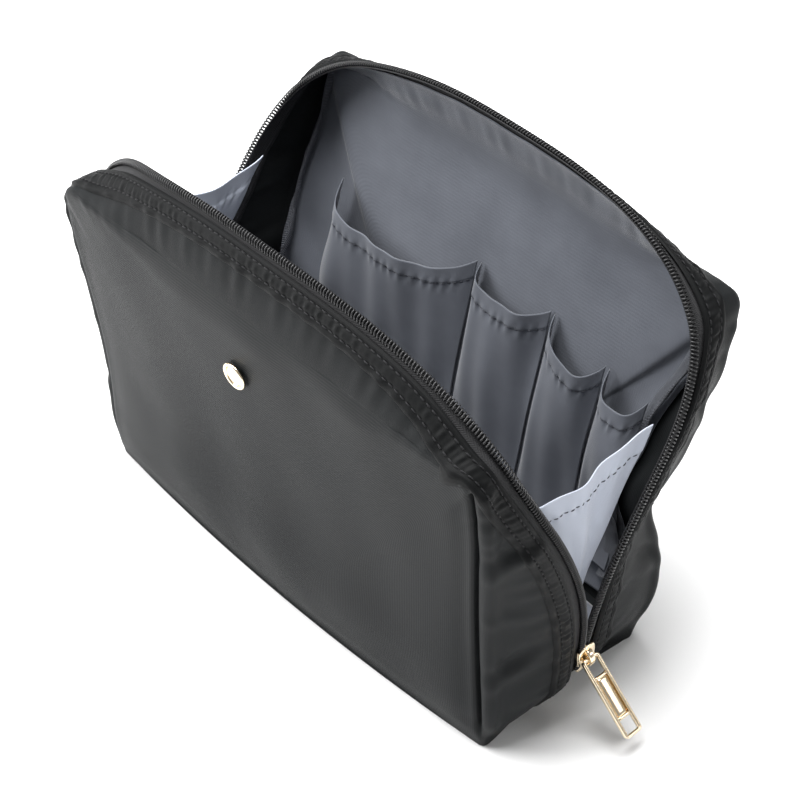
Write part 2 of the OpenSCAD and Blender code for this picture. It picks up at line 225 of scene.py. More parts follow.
def creases(half, s, row, point):
    """Height of the cloth's folds over the bare half, in millimetres."""
    x, z = point[..., 0], point[..., 2]
    front = half["side"] < 0
    face = ease((row - 1) / 0.08)
    wave = np.sin(x / 15 + 0.6 * np.sin(z / 37)) * np.cos(z / 61 + x / 90)
    wave += 0.7 * np.sin(x / 8.2 + z / 60 + 1.3) * np.sin(z / 43 + 0.4)
    folds = 0.5 * face * wave * ease(z / 30)
    reach = strip_reach(half, s)
    off = (row - 1) * np.where(row < 1, reach, face_reach(s))
    upright = ease((np.abs(s) - 0.432) / 0.016) * ease((0.98 - np.abs(s)) / 0.05)
    groove = 2.6 * hump(off, -4.5, 3.2) - 4.2 * hump(off, 1.2, 1.8) - 1.2 * hump(off, 6, 6)
    folds += (1.0 if front else 0.5) * np.where(s > 0, 1, 0.3) * upright * groove
    slack = hump(off, -14, 11) * upright * (row < 1)
    for height, slope, deep in GUSSET_CREASES:
        folds += deep * slack * hump(z + slope * (off + 5), height, 4.2)
    length = s * half["zip_length"]
    inside = reach + off
    pucker = np.sin(length / 2.3 + 1.7 * np.sin(length / 11)) + 0.6 * np.sin(length / 1.31 + 2)
    folds += 0.2 * pucker * hump(inside, 22, 7) * ease((0.93 - np.abs(s)) / 0.05)
    fan = np.sin(length / 5.1 + 2.2 * np.sin(length / 23)) * hump(inside, 30, 10) * (row < 1)
    return folds + 0.35 * fan * ease((np.abs(s) - 0.1) / 0.2)


def half_cloth(half, s, row, out=0.0):
    """A point of a half's cloth with its creases, moved out along the surface by out millimetres."""
    point = bare_half(half, s, row)
    normal = half_normal(half, s, row, bare_half)
    return point + (creases(half, s, row, point) + out)[..., None] * normal


def row_at(half, s, distance):
    """The row that lies a distance in from the zip, in millimetres along the strip."""
    return distance / strip_reach(half, s)


def placed(half, grid):
    """Half coordinates to the bag's frame. The front's columns are turned round, so that its faces point out."""
    grid = grid * np.array([1, half["side"], 1])
    return grid if half["side"] > 0 else grid[:, ::-1]


def smooth_piece(name, points, faces):
    """A smooth object from points in millimetres and lists of corners."""
    mesh = bpy.data.meshes.new(name)
    mesh.from_pydata((points.reshape(-1, 3) * MM).tolist(), [], faces)
    mesh.shade_smooth()
    piece = bpy.data.objects.new(name, mesh)
    bpy.context.scene.collection.objects.link(piece)
    return piece


def cloth_mesh(name, grid, uv):
    """Quads over a grid of points, with the cloth's pattern coordinates in millimetres."""
    rows, cols = grid.shape[:2]
    i = np.arange(rows * cols).reshape(rows, cols)
    quads = np.stack([i[:-1, :-1], i[:-1, 1:], i[1:, 1:], i[1:, :-1]], -1).reshape(-1, 4)
    piece = smooth_piece(name, grid, quads.tolist())
    layer = piece.data.uv_layers.new(name="cloth")
    corners = uv.reshape(-1, 2)[quads.reshape(-1)]
    layer.data.foreach_set("uv", corners.astype(np.float32).reshape(-1))
    return piece


def pattern(half, s, across):
    """Pattern coordinates: millimetres along the zip and across it."""
    uv = np.stack([s * half["zip_length"], across], -1)
    return uv if half["side"] > 0 else uv[:, ::-1]


def thicken(piece, thickness):
    """Gives a cloth its thickness, inwards."""
    wall = piece.modifiers.new("thickness", "SOLIDIFY")
    wall.thickness = thickness * MM
    wall.offset = -1
    wall.use_even_offset = False


def bends_with(piece):
    """Bakes the piece's transform into its mesh."""
    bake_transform(piece)


def socketed(tree, kind, **values):
    """A node with its properties and its inputs set. Inputs are given by name, with _ for a space."""
    node = tree.nodes.new(kind)
    for key, value in values.items():
        if hasattr(node, key) and key not in [s.name for s in node.inputs]:
            setattr(node, key, value)
        else:
            node.inputs[key.replace("_", " ")].default_value = value
    return node


def make_satin_group():
    """Satin weave: two crossed sets of threads for the height, and cloudy noise that mixes a light and a dark
    colour as painted sheen.
    """
    group = bpy.data.node_groups.new("Satin weave", "ShaderNodeTree")
    number, colour = "NodeSocketFloat", "NodeSocketColor"
    for name, kind in (("Thread", number), ("Light", colour), ("Dark", colour)):
        group.interface.new_socket(name, in_out="INPUT", socket_type=kind)
    for name, kind in (("Colour", colour), ("Height", number), ("Cloud", number)):
        group.interface.new_socket(name, in_out="OUTPUT", socket_type=kind)
    ins, outs = group.nodes.new("NodeGroupInput"), group.nodes.new("NodeGroupOutput")
    link = group.links.new
    place = group.nodes.new("ShaderNodeTexCoord")
    split = group.nodes.new("ShaderNodeSeparateXYZ")
    link(place.outputs["UV"], split.inputs[0])
    waves = []
    for axis, share in (("X", 6.2832), ("Y", 4.4)):
        turn = socketed(group, "ShaderNodeMath", operation="DIVIDE")
        link(split.outputs[axis], turn.inputs[0])
        link(ins.outputs["Thread"], turn.inputs[1])
        scaled = socketed(group, "ShaderNodeMath", operation="MULTIPLY")
        scaled.inputs[1].default_value = share
        link(turn.outputs[0], scaled.inputs[0])
        wave = socketed(group, "ShaderNodeMath", operation="SINE")
        link(scaled.outputs[0], wave.inputs[0])
        waves.append(wave)
    weave = socketed(group, "ShaderNodeMath", operation="MULTIPLY_ADD")
    weave.inputs[1].default_value = 0.5
    link(waves[0].outputs[0], weave.inputs[0])
    link(waves[1].outputs[0], weave.inputs[2])
    link(weave.outputs[0], outs.inputs["Height"])
    cloud = socketed(group, "ShaderNodeTexNoise", Scale=38.0, Detail=3.0, Roughness=0.55)
    link(place.outputs["Object"], cloud.inputs["Vector"])
    # Painted sheen: the noise mixes the dark and the light colour in soft clouds.
    shade = group.nodes.new("ShaderNodeMix")
    shade.data_type = "RGBA"
    link(cloud.outputs["Fac"], shade.inputs["Factor"])
    link(ins.outputs["Dark"], shade.inputs["A"])
    link(ins.outputs["Light"], shade.inputs["B"])
    link(shade.outputs["Result"], outs.inputs["Colour"])
    link(cloud.outputs["Fac"], outs.inputs["Cloud"])
    return group


SATIN = make_satin_group()


def satin_material(name, light, dark, thread, rough, sheen, depth=0.05):
    """A woven satin: its colour is painted in clouds between two colours as painted sheen, and its threads show
    as fine relief.
    """
    material = bpy.data.materials.new(name)
    material.use_nodes = True
    tree = material.node_tree
    skin = tree.nodes["Principled BSDF"]
    weave = tree.nodes.new("ShaderNodeGroup")
    weave.node_tree = SATIN
    weave.inputs["Thread"].default_value = thread
    weave.inputs["Light"].default_value = (*light, 1)
    weave.inputs["Dark"].default_value = (*dark, 1)
    relief = socketed(tree, "ShaderNodeBump", Strength=0.35, Distance=depth * MM)
    worn = socketed(tree, "ShaderNodeMapRange")
    worn.inputs["To Min"].default_value, worn.inputs["To Max"].default_value = rough - 0.06, rough + 0.06
    tree.links.new(weave.outputs["Cloud"], worn.inputs["Value"])
    tree.links.new(worn.outputs["Result"], skin.inputs["Roughness"])
    tree.links.new(weave.outputs["Colour"], skin.inputs["Base Color"])
    tree.links.new(weave.outputs["Height"], relief.inputs["Height"])
    tree.links.new(relief.outputs["Normal"], skin.inputs["Normal"])
    skin.inputs["Sheen Weight"].default_value = sheen
    skin.inputs["Sheen Roughness"].default_value = 0.4
    skin.inputs["Specular IOR Level"].default_value = 0.08
    return material


BLACK_SATIN = satin_material("black satin", (0.0135, 0.015, 0.016), (0.008, 0.0087, 0.0091),
                             0.35, 0.46, 0.015)
COLUMNS, STRIP_ROWS, FACE_ROWS = 461, 36, 64
SHELL_START = 15.0
ROW_MM = 60.0

for key, half in HALVES.items():
    s = np.linspace(-1, 1, COLUMNS)[None, :]
    start = row_at(half, s, SHELL_START)
    strip_rows = 1 - np.linspace(1, 0, STRIP_ROWS)[:, None] ** 1.4
    face_rows = 0.985 * np.linspace(0, 1, FACE_ROWS)[1:, None] ** 1.6
    rows = np.concatenate([start + (1 - start) * strip_rows, 1 + face_rows + 0 * s])
    s = s + 0 * rows
    points = half_cloth(half, s, rows)
    points[..., 2] = np.maximum(points[..., 2], 0.6)
    shell = cloth_mesh("shell_" + key, placed(half, points), pattern(half, s, rows * ROW_MM))
    thicken(shell, 0.8)
    shell.data.materials.append(BLACK_SATIN)
    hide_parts("outer_" + key, "padding_" + key)
    if key == "front":
        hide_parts("end_gusset_left", "end_gusset_right")
    bends_with(shell)

# --- Base -------------------------------------------------------------------------------------------
# A flat stiffened panel in the same satin, sewn in with a narrow seam that shows along the table.


END_TUCK, SIDE_BOW, BASE_SQUARENESS = 4.5, 6.0, 24.0


def base_outline(inset):
    """A rectangle with small round corners, its long sides bowed out and its ends tucked in to a shallow V."""
    a = np.linspace(0, 2 * np.pi, 361)[:-1]
    r = round_box(a, HALF_L - inset, HALF_D - inset, BASE_SQUARENESS)
    x, y = r * np.cos(a), r * np.sin(a)
    tuck = END_TUCK * np.maximum(0, 1 - np.abs(y) / HALF_D) / HALF_L
    bow = SIDE_BOW * np.maximum(0, 1 - (x / HALF_L) ** 2) / HALF_D
    return np.stack([x * (1 - tuck), y * (1 + bow)], 1)


def ringed_mesh(name, rings):
    """A closed solid of rings of points, with the first and the last ring filled."""
    count = rings[0].shape[0]
    points = np.concatenate(rings)
    i = np.arange(len(points)).reshape(len(rings), count)
    nxt = np.roll(i, -1, axis=1)
    quads = np.stack([i[:-1], nxt[:-1], nxt[1:], i[1:]], -1).reshape(-1, 4).tolist()
    return smooth_piece(name, points, quads + [i[0][::-1].tolist(), i[-1].tolist()])


def at_height(outline, z):
    """A flat outline at a height."""
    return np.column_stack([outline, np.full(len(outline), z)])


base_rings = [at_height(base_outline(inset), z) for inset, z in (
    (3.0, 0.0), (0.6, 0.1), (-0.4, 0.7), (-0.5, 1.6), (0.3, 2.4), (2.5, 2.8))]
base_panel = ringed_mesh("base_panel", base_rings)
base_panel.data.materials.append(BLACK_SATIN)
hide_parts("outer_base", "padding_base")
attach(base_panel, "base")

# --- Zip tape ----------------------------------------------------------------------------------------
# A narrow woven tape that carries the coil. Its herringbone shows inside the bag along the open edge.


def herringbone_material():
    """Black tape woven in chevrons: slanting ribs that turn back every few millimetres, painted lighter on their
    crowns and darker in their grooves as painted light and shade.
    """
    material = bpy.data.materials.new("zip tape weave")
    material.use_nodes = True
    tree = material.node_tree
    skin = tree.nodes["Principled BSDF"]
    place = tree.nodes.new("ShaderNodeTexCoord")
    split = tree.nodes.new("ShaderNodeSeparateXYZ")
    fold = socketed(tree, "ShaderNodeMath", operation="PINGPONG")
    fold.inputs[1].default_value = 1.5
    total = socketed(tree, "ShaderNodeMath", operation="ADD")
    pitch = socketed(tree, "ShaderNodeMath", operation="MULTIPLY")
    pitch.inputs[1].default_value = 7.0
    rib = socketed(tree, "ShaderNodeMath", operation="SINE")
    shade = tree.nodes.new("ShaderNodeMapRange")
    shade.inputs["From Min"].default_value = -1
    # Painted light and shade: the rib's height picks a darker colour in the grooves and a lighter one on the
    # crowns.
    painted_rib_shade = tree.nodes.new("ShaderNodeMix")
    painted_rib_shade.data_type = "RGBA"
    painted_rib_shade.inputs["A"].default_value = (0.006, 0.006, 0.007, 1)
    painted_rib_shade.inputs["B"].default_value = (0.022, 0.022, 0.024, 1)
    relief = socketed(tree, "ShaderNodeBump", Strength=0.6, Distance=0.12 * MM)
    link = tree.links.new
    link(place.outputs["UV"], split.inputs[0])
    link(split.outputs["Y"], fold.inputs[0])
    link(split.outputs["X"], total.inputs[0])
    link(fold.outputs[0], total.inputs[1])
    link(total.outputs[0], pitch.inputs[0])
    link(pitch.outputs[0], rib.inputs[0])
    link(rib.outputs[0], shade.inputs["Value"])
    link(shade.outputs["Result"], painted_rib_shade.inputs["Factor"])
    link(painted_rib_shade.outputs["Result"], skin.inputs["Base Color"])
    link(rib.outputs[0], relief.inputs["Height"])
    link(relief.outputs["Normal"], skin.inputs["Normal"])
    skin.inputs["Roughness"].default_value = 0.75
    return material


TAPE_WEAVE = herringbone_material()


TAPE_NEAR, TAPE_FAR, TAPE_DEEP = 0.9, 17.0, -0.9

for key, half in HALVES.items():
    s = np.linspace(-1, 1, 521)[None, :] + np.zeros((7, 1))
    distance = np.linspace(TAPE_NEAR, TAPE_FAR, 7)[:, None] + 0 * s
    points = half_cloth(half, s, row_at(half, s, distance), TAPE_DEEP + 0 * s)
    tape = cloth_mesh("zip_tape_visible_" + key, placed(half, points), pattern(half, s, distance))
    thicken(tape, 0.5)
    tape.data.materials.append(TAPE_WEAVE)
    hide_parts("zip_tape_" + key)
    bends_with(tape)

# --- Facing band ---------------------------------------------------------------------------------------
# The folded edge of the shell, laid over the tape and topstitched twice, so it puckers. Its satin is the shell's
# with its colours painted darker, as painted shade in the puckers.

# Painted shade: the shell's black satin with darker colours, for the shade in the band's puckers.
SHADED_BAND_SATIN = satin_material("black satin painted darker", (0.0085, 0.009, 0.0094), (0.0045, 0.0048, 0.005),
                            0.35, 0.5, 0.012)
BAND_NEAR, BAND_WIDE = 7.6, 12.4
STITCH_ROWS = (10.4, 16.2)

for key, half in HALVES.items():
    s = np.linspace(-0.985, 0.985, 1401)[None, :] + np.zeros((15, 1))
    across = np.linspace(0, 1, 15)[:, None] + 0 * s
    distance = BAND_NEAR + BAND_WIDE * across
    length = s * half["zip_length"]
    crown = 0.9 + 0.6 * np.sqrt(np.clip(1 - (2 * across - 1) ** 2, 0, 1))
    crown -= 0.6 * sum(hump(distance, row, 0.8) for row in STITCH_ROWS)
    ripple = np.sin(length / 0.9 + 1.8 * np.sin(length / 7.7)) + 0.6 * np.sin(length / 0.53 + 1)
    crown += 0.26 * ripple * hump(distance, 13.3, 2.4) * (0.6 + 0.4 * np.sin(length / 17))
    crown += 0.3 * np.sin(length / 2.1 + 2 * np.sin(length / 13)) * hump(distance, 19.0, 2.2)
    crown[0] = crown[-1] = 0.05
    points = half_cloth(half, s, row_at(half, s, distance), crown)
    band = cloth_mesh("facing_band_" + key, placed(half, points), pattern(half, s, distance))
    band.data.materials.append(SHADED_BAND_SATIN)
    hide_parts("zip_band_" + key)
    bends_with(band)

# --- Topstitching ----------------------------------------------------------------------------------------
# Two rows of black thread along each facing band.

THREAD = satin_material("black thread", (0.03, 0.03, 0.032), (0.012, 0.012, 0.013), 0.4, 0.6, 0.1)


def interpolated(at, share, values):
    """Rows of values picked at shares of the way along them."""
    return np.stack([np.interp(at, share, values[:, k]) for k in range(3)], -1)


def stitches(name, path, outward, pitch=3.3, length=2.5, radius=0.3, sink=0.0):
    """Short round-ended threads laid end to end along a path of points."""
    share, total = walked(path)
    count = int(total / pitch)
    middle = (np.arange(count) + 0.5) / count
    at, up = interpolated(middle, share, path), unit(interpolated(middle, share, outward))
    step = 0.4 / total
    forward = unit(interpolated(middle + step, share, path) - interpolated(middle - step, share, path))
    side = np.cross(forward, up)
    u = np.linspace(-1, 1, 6)[None, :, None, None]
    a = np.linspace(0, 2 * np.pi, 7)[None, None, :-1, None]
    thick = radius * np.sqrt(np.clip(1.06 - u ** 4, 0, 1))
    arch = (1 - u ** 2) * radius * 0.8 - sink
    grid = (at[:, None, None] + forward[:, None, None] * u * length / 2
            + side[:, None, None] * np.cos(a) * thick + up[:, None, None] * (np.sin(a) * thick + arch))
    n, rows, cols = grid.shape[:3]
    i = np.arange(n * rows * cols).reshape(n, rows, cols)
    nxt = np.roll(i, -1, axis=2)
    quads = np.stack([i[:, :-1], i[:, 1:], nxt[:, 1:], nxt[:, :-1]], -1).reshape(-1, 4).tolist()
    caps = i[:, 0].tolist() + i[:, -1, ::-1].tolist()
    piece = smooth_piece(name, grid, quads + caps)
    piece.data.materials.append(THREAD)
    return piece


def joined(pieces, name):
    """Several pieces made one."""
    with bpy.context.temp_override(active_object=pieces[0], selected_editable_objects=pieces):
        bpy.ops.object.join()
    pieces[0].name = pieces[0].data.name = name
    return pieces[0]


for key, half in HALVES.items():
    rows = []
    for n, distance in enumerate(STITCH_ROWS):
        s = np.linspace(-0.97, 0.97, 1600)[None, :]
        row = row_at(half, s, distance)
        path = half_cloth(half, s, row, 1.0 + 0 * s)
        normal = half_normal(half, s, row, bare_half)
        turn = np.array([1, half["side"], 1])
        rows.append(stitches(f"row_{n}", (path * turn)[0], (normal * turn)[0]))
    seam = joined(rows, "topstitching_" + key)
    bends_with(seam)

# --- Zip coil ------------------------------------------------------------------------------------------
# Black nylon filament wound into a flat coil and sewn along the tape's edge.

COIL_PITCH, COIL_WIDE, COIL_HIGH, FILAMENT = 1.5, 3.0, 1.9, 0.42


def coil_material():
    """Glossy black nylon."""
    material = bpy.data.materials.new("black nylon coil")
    material.use_nodes = True
    tree = material.node_tree
    skin = tree.nodes["Principled BSDF"]
    place = tree.nodes.new("ShaderNodeTexCoord")
    scuff = socketed(tree, "ShaderNodeTexNoise", Scale=900.0, Detail=2.0)
    worn = tree.nodes.new("ShaderNodeMapRange")
    worn.inputs["To Min"].default_value, worn.inputs["To Max"].default_value = 0.24, 0.42
    tree.links.new(place.outputs["Object"], scuff.inputs["Vector"])
    tree.links.new(scuff.outputs["Fac"], worn.inputs["Value"])
    tree.links.new(worn.outputs["Result"], skin.inputs["Roughness"])
    skin.inputs["Base Color"].default_value = (0.012, 0.012, 0.013, 1)
    return material


COIL = coil_material()


def tube(name, centre, normal, radius):
    """A six-sided tube along a path, shaded round."""
    sides = 6
    forward = unit(np.gradient(centre, axis=0))
    u = unit(np.cross(forward, normal))
    v = np.cross(forward, u)
    a = np.linspace(0, 2 * np.pi, sides + 1)[None, :-1, None]
    grid = centre[:, None] + radius * (np.cos(a) * u[:, None] + np.sin(a) * v[:, None])
    i = np.arange(len(centre) * sides).reshape(-1, sides)
    nxt = np.roll(i, -1, axis=1)
    quads = np.stack([i[:-1], i[1:], nxt[1:], nxt[:-1]], -1).reshape(-1, 4).tolist()
    return smooth_piece(name, grid, quads + [i[0].tolist(), i[-1, ::-1].tolist()])


SLIDER_Z, COIL_BELOW_SLIDER = 33.0, 9.0

for key, half in HALVES.items():
    share = walked(half["zip"][1])[0]
    foot = np.interp(SLIDER_Z - COIL_BELOW_SLIDER, half["zip"][1][::-1, 2], share[::-1])
    length = 2 * foot * half["zip_length"]
    turns = int(length / COIL_PITCH)
    n = turns * 14
    s = np.linspace(-foot, foot, n)[None, :]
    angle = np.linspace(0, 2 * np.pi * turns, n)
    line = half_cloth(half, s, 0 * s)[0]
    inner = half_cloth(half, s, row_at(half, s, 6.0))[0]
    forward = unit(np.gradient(line, axis=0))
    across = unit(inner - line - forward * np.sum((inner - line) * forward, -1, keepdims=True))
    normal = np.cross(forward, across)
    centre = (line + across * (0.25 + COIL_WIDE / 2 * (1 - np.cos(angle)))[:, None]
              + normal * (0.3 + COIL_HIGH / 2 * np.sin(angle))[:, None])
    turn = np.array([1, half["side"], 1])
    coil = tube("zip_coil_visible_" + key, centre * turn, across * turn, FILAMENT)
    coil.data.materials.append(COIL)
    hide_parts("zip_coil_" + key)
    if key == "front":
        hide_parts("zip_foot_right", "zip_foot_left")
    bends_with(coil)

# --- Lining ---------------------------------------------------------------------------------------------
# Grey satin, sewn in as a loose bag inside the padding. At the ends it stops at the corner seams, and the
# gusset's own black satin shows. At the right end it stops a little onto the face instead, so the shell's bared
# black satin stands in as painted shade on the wall by the corner.

GREY_SATIN = satin_material("grey lining", (0.165, 0.176, 0.203), (0.098, 0.105, 0.123), 0.4, 0.42, 0.3)
LINING_START, LINING_FOOT = 10.0, 3.6


def seam_row(s):
    """Row of the lining's corner seam: on the face's edge at the left, and a little onto the face at the right,
    where the bared black satin is painted shade."""
    # At the right the seam moves onto the face, so bared black satin stands as painted shade by the corner.
    return 1 + (0.07 + 0.12 * ease((np.abs(s) - 0.42) / 0.2)) * ease(s / 0.3)


for key, half in HALVES.items():
    s = np.linspace(-0.97, 0.97, 361)[None, :]
    start = row_at(half, s, LINING_START + 0.5 * np.sin(s * 90) + 0.4 * np.sin(s * 41 + 1))
    start = start + (seam_row(s) - 0.04 - start) * ease((np.abs(s) - 0.37) / 0.09)
    knee = np.maximum(1, start + 0.02)
    strip_rows = np.linspace(0, 1, 16)[:, None]
    wall_rows = np.linspace(0, 1, 44)[1:, None]
    rows = np.concatenate([start + (knee - start) * strip_rows, knee + (1.97 - knee) * wall_rows])
    s = s + 0 * rows
    deep = -1.9 - 3.2 * ease((rows - start) / 0.5)
    points = half_cloth(half, s, rows, deep)
    points[..., 2] = np.maximum(points[..., 2], LINING_FOOT)
    lining = cloth_mesh("inner_lining_" + key, placed(half, points), pattern(half, s, rows * ROW_MM))
    thicken(lining, 0.4)
    lining.data.materials.append(GREY_SATIN)
    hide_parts("lining_" + key)
    bends_with(lining)

floor_rings = [at_height(base_outline(inset), z) for inset, z in (
    (6.0, 2.9), (4.5, 3.0), (4.2, 3.4), (6.0, 3.7))]
floor_lining = ringed_mesh("inner_lining_base", floor_rings)
floor_lining.data.materials.append(GREY_SATIN)
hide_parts("lining_base")
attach(floor_lining, "base")

# --- Corner bindings ------------------------------------------------------------------------------------
# Ribbed grosgrain tape folded over the lining's seam down each inner corner.


def grosgrain_material():
    """Ribbed tape: rounded ribs straight across it, with a painted highlight on their crowns and painted shade
    between them.
    """
    material = bpy.data.materials.new("grey grosgrain")
    material.use_nodes = True
    tree = material.node_tree
    skin = tree.nodes["Principled BSDF"]
    place = tree.nodes.new("ShaderNodeTexCoord")
    split = tree.nodes.new("ShaderNodeSeparateXYZ")
    pitch = socketed(tree, "ShaderNodeMath", operation="MULTIPLY")
    pitch.inputs[1].default_value = 7.4
    rib = socketed(tree, "ShaderNodeMath", operation="SINE")
    crown = tree.nodes.new("ShaderNodeMapRange")
    crown.inputs["From Min"].default_value = -1
    # Painted light and shade: the rib's height picks a dark colour between the ribs and a light one on their
    # crowns.
    shade = tree.nodes.new("ShaderNodeMix")
    shade.data_type = "RGBA"
    shade.inputs["A"].default_value = (0.05, 0.053, 0.062, 1)
    shade.inputs["B"].default_value = (0.16, 0.17, 0.195, 1)
    relief = socketed(tree, "ShaderNodeBump", Strength=0.7, Distance=0.25 * MM)
    link = tree.links.new
    link(place.outputs["UV"], split.inputs[0])
    link(split.outputs["X"], pitch.inputs[0])
    link(pitch.outputs[0], rib.inputs[0])
    link(rib.outputs[0], crown.inputs["Value"])
    link(crown.outputs["Result"], shade.inputs["Factor"])
    link(shade.outputs["Result"], skin.inputs["Base Color"])
    link(rib.outputs[0], relief.inputs["Height"])
    link(relief.outputs["Normal"], skin.inputs["Normal"])
    skin.inputs["Roughness"].default_value = 0.7
    return material


GROSGRAIN = grosgrain_material()

for key, half in HALVES.items():
    for hand, sign in (("left", -1), ("right", 1)):
        s = sign * np.linspace(0.40, 0.93, 301)[None, ::sign] + np.zeros((9, 1))
        across = np.linspace(-1, 1, 9)[:, None] + 0 * s
        rows = seam_row(s) + np.where((across < 0) & (sign < 0), 0.11, 0.034) * across
        out = -5.6 - 1.1 * (1 - across ** 4) + 0.3 * np.sin(s * 130) * across ** 2
        points = half_cloth(half, s, rows, out)
        points[..., 2] = np.maximum(points[..., 2], 4.4)
        binding = cloth_mesh(f"corner_binding_{key}_{hand}", placed(half, points),
                             pattern(half, s, across * 4))
        thicken(binding, 0.5)
        binding.data.materials.append(GROSGRAIN)
        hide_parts(f"seam_binding_{key}_{hand}")
        bends_with(binding)

# --- Pockets -------------------------------------------------------------------------------------------
# Four slip pockets of lining satin on the back wall. Each is cut wider than its place, so it gapes, and
# its mouth is a turned hem held by one row of stitches.

GREY_THREAD = satin_material("grey thread", (0.10, 0.105, 0.12), (0.05, 0.053, 0.06), 0.4, 0.6, 0.1)
BACK = HALVES["back"]
POCKET_FOOT, POCKET_TALL, HEM = 22.0, 88.0, 8.0

# Each pocket's left and right edges, how far its mouth gapes and how far its mouth sags.
POCKETS = {
    "wide": (-92, -8, 15.0, 9.0),
    "brush": (-6, 37, 9.0, 5.0),
    "slim": (39, 72, 8.5, 7.5),
    "end": (74, 99, 7.5, 7.5),
}


def pocket_mouth(x):
    """Height of the pockets' mouths, a little lower towards the right end."""
    return 116 - 7 * ease((x - 30) / 45)


def pocket_cloth(left, right, gape, sag, u, k):
    """A pocket in half coordinates. u is -1 to 1 across it, and k is 0 at its foot and 1 at its mouth. It
    stands off the wall by the gape times one less u to the fourth, times k to the power of 0.8, and has soft
    folds. The wall is dented near the pinched corners."""
    x = left + (right - left) * (u + 1) / 2
    z = POCKET_FOOT + (pocket_mouth(x) - POCKET_FOOT) * k - sag * (1 - u ** 4) * k
    skew = np.clip(u + 0.3 * (1 - u * u), -1, 1)
    stand = gape * (1 - skew ** 4) * k ** 0.8
    turns = (right - left) / 11
    fold = np.sin(turns * u + 1.3 * np.sin(3 * k + left) + left) * (0.4 + 0.6 * k)
    fold += 0.5 * np.sin(2.3 * turns * u + 4 * k)
    fold += 0.8 * np.sin(5 * k + 2.5 * u + left / 20)
    down = (1 - k) * POCKET_TALL
    hem = ease((down - HEM) / -0.7)
    pucker = 0.35 * np.sin(u * turns * 7 + np.sin(9 * u)) * hump(down, HEM + 0.5, 3.0)
    stand = stand + (0.75 * fold + pucker) * (1 - u ** 6) + 0.45 * hem
    dent = corner_shift(BACK, z)[1] * np.exp(-(((HALF_L - np.abs(x)) / 34) ** 2))
    wall = face_depth(BACK, x, z) + np.minimum(dent, 0) - 6.0 / np.cos(np.radians(BACK["lean"]))
    return np.stack([x, wall - 0.6 - np.maximum(stand, 0), z + 0 * u], -1)


for name, (left, right, gape, sag) in POCKETS.items():
    u = np.linspace(-1, 1, 2 * int(right - left) + 1)[None, :]
    k = np.linspace(0, 1, 133)[:, None] + 0 * u
    u = u + 0 * k
    points = pocket_cloth(left, right, gape, sag, u, k)
    uv = np.stack([u * (right - left) / 2, k * POCKET_TALL], -1)
    pocket = cloth_mesh("pocket_cloth_" + name, points, uv)
    thicken(pocket, 0.5)
    pocket.data.materials.append(GREY_SATIN)
    across = np.linalg.norm(np.diff(points[-1], axis=0), axis=1).sum()
    up = np.linalg.norm(np.diff(points[:, len(u[0]) // 2], axis=0), axis=1).sum()
    u = np.linspace(-0.97, 0.97, 400)
    k = 0 * u + 1 - HEM / POCKET_TALL
    path = pocket_cloth(left, right, gape, sag, u, k)
    below = pocket_cloth(left, right, gape, sag, u, k - 0.01)
    outward = np.cross(np.gradient(path, axis=0), path - below)
    row = stitches("pocket_stitching_" + name, path, outward, 3.0, 2.1, 0.22)
    row.data.materials[0] = GREY_THREAD
    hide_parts("pocket_" + name)
    for piece in (pocket, row):
        bends_with(piece)

# --- End webs ------------------------------------------------------------------------------------------
# A web of the lining satin across each end keeps the bag from falling wide open. Its colours are painted far
# lighter than the lining's, as painted light shining through it.
# Its upper edge is a stitched hem.

# Painted light: the lining satin with its colours raised several times, for light shining through the web.
BACKLIT_WEB_SATIN = satin_material("lining satin painted light", (0.56, 0.60, 0.69), (0.44, 0.475, 0.56), 0.4, 0.45, 0.3)
WEB_FOOT, WEB_TOP, WEB_HEM, WEB_INSIDE_ZIP = 41.0, 130.0, 10.0, 8.5


def web_cloth(sign, v, k):
    """A web in the bag's frame. v is 0 at the front and 1 at the back, and k is 0 at its foot and 1 at its
    hem. Its ends follow the zips, and it buckles in long folds that spread from its foot."""
    z = WEB_FOOT + (WEB_TOP - WEB_FOOT) * k - 3.5 * np.sin(np.pi * v) * k
    ends = [zip_at(half, sign, z)[1] - 1.0 for half in HALVES.values()]
    y = -ends[0] + (ends[0] + ends[1]) * v
    x = zip_at(BACK, sign, z)[0] - WEB_INSIDE_ZIP
    fold = 2.2 * np.sin(2 * np.pi * v) * k + 0.9 * np.sin(5 * np.pi * v + 2 * k) * k
    fold += 0.5 * np.sin(13 * v + 7 * k) * np.sin(9 * k)
    down = (1 - k) * (WEB_TOP - WEB_FOOT)
    fold += 0.3 * np.sin(60 * v + np.sin(17 * v)) * hump(down, WEB_HEM + 0.5, 3.0)
    fold += 0.4 * ease((WEB_HEM - down) / 0.8)
    return np.stack([sign * (x + fold), y, z + 0 * v], -1)


for hand, sign in (("left", -1), ("right", 1)):
    v = np.linspace(0, 1, 181)[None, ::sign]
    k = np.linspace(0, 1, 141)[:, None] + 0 * v
    v = v + 0 * k
    points = web_cloth(sign, v, k)
    web = cloth_mesh("end_web_cloth_" + hand, points, np.stack([v * 80, k * 83], -1))
    thicken(web, 0.5)
    web.data.materials.append(BACKLIT_WEB_SATIN)
    foot = np.linalg.norm(np.diff(points[0], axis=0), axis=1).sum()
    tall = WEB_TOP - WEB_FOOT
    v = np.linspace(0.02, 0.98, 400)
    k = 0 * v + 1 - WEB_HEM / tall
    path = web_cloth(sign, v, k)
    outward = path * 0 + np.array([sign, 0, 0])
    row = stitches("web_stitching_" + hand, path, outward, 3.0, 2.1, 0.22, -0.15)
    row.data.materials[0] = GREY_THREAD
    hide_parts("end_web_" + hand)
    for piece in (web, row):
        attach(piece, "base")
        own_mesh(piece)

# --- Stud ----------------------------------------------------------------------------------------------
# A plain polished gold stud with a rolled rim. Its post goes through the front, and a washer holds it.


